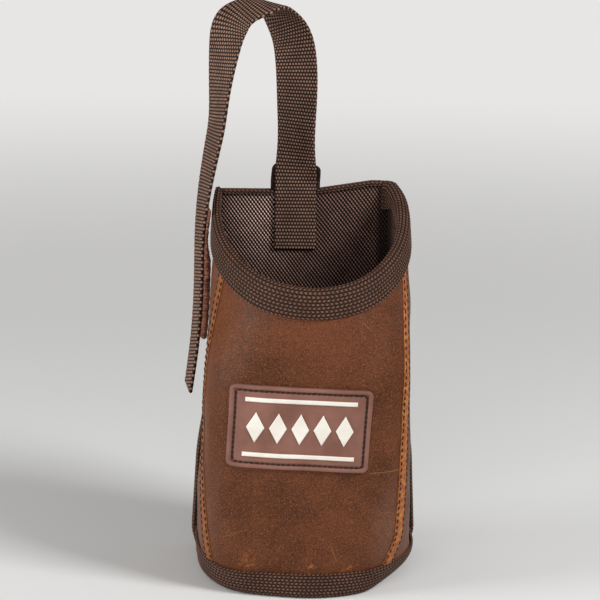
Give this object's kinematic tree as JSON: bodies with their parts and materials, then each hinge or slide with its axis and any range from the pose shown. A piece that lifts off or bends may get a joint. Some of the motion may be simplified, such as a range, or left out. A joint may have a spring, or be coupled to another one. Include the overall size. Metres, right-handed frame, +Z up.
{
  "type": "bottle carrier",
  "caption": "Padded leather bottle pocket with a slanted bound mouth, woven lining, plain label patch and a webbing hanging strap with a hook-and-loop tail.",
  "frame": {"origin": "middle of the base's underside, on mount base_face", "axes": "+X to the right seen from the front, +Y towards the flat back, +Z up"},
  "size_m": [0.1082, 0.0858, 0.2607],
  "materials": {
    "brown_leather": "waxed pull-up leather",
    "tan_strip": "raw leather edge",
    "thread": "twisted polyester thread",
    "foam": "closed-cell foam",
    "lining": "coarse woven nylon",
    "board": "plain sheet",
    "binding_tape": "ribbed woven tape",
    "webbing": "woven nylon webbing",
    "hook_tape": "hook fastener tape",
    "loop_tape": "loop fastener tape",
    "patch_rubber": "moulded soft rubber",
    "patch_ivory": "moulded soft rubber"
  },
  "bodies": {
    "carrier": {"front_panel": "brown_leather", "side_panel_left": "brown_leather", "side_panel_right": "brown_leather", "back_panel": "brown_leather", "base_panel": "brown_leather", "seam_strip_left": "tan_strip", "seam_strip_right": "tan_strip", "seam_stitches_left": "thread", "seam_stitches_right": "thread", "patch_stitches": "thread", "wall_foam": "foam", "back_foam": "foam", "base_foam": "foam", "wall_lining": "lining", "back_lining": "lining", "base_lining": "lining", "base_board": "board", "mouth_binding": "binding_tape", "base_binding": "binding_tape", "back_binding_left": "binding_tape", "back_binding_right": "binding_tape", "back_top_hem": "binding_tape", "label_patch": "patch_rubber", "patch_inlay": "patch_ivory", "strap_anchor": "webbing", "loop_tape": "loop_tape"},
    "strap": {"strap_loop": "webbing", "loop_tape_end": "loop_tape"},
    "tail": {"strap_tail": "webbing", "hook_tape": "hook_tape"}
  },
  "joints": [
    {"name": "strap_swing", "type": "hinge", "parent": "carrier", "child": "strap", "pos_m": [-0.0064, 0.0321, 0.178], "axis": [1, 0, 0], "range_deg": [-70, 30]},
    {"name": "tail_swing", "type": "hinge", "parent": "strap", "child": "tail", "pos_m": [-0.04552, 0.0165, 0.19602], "axis": [-0.2442, 0.9391, 0.2417], "range_deg": [0, 95]}
  ]
}
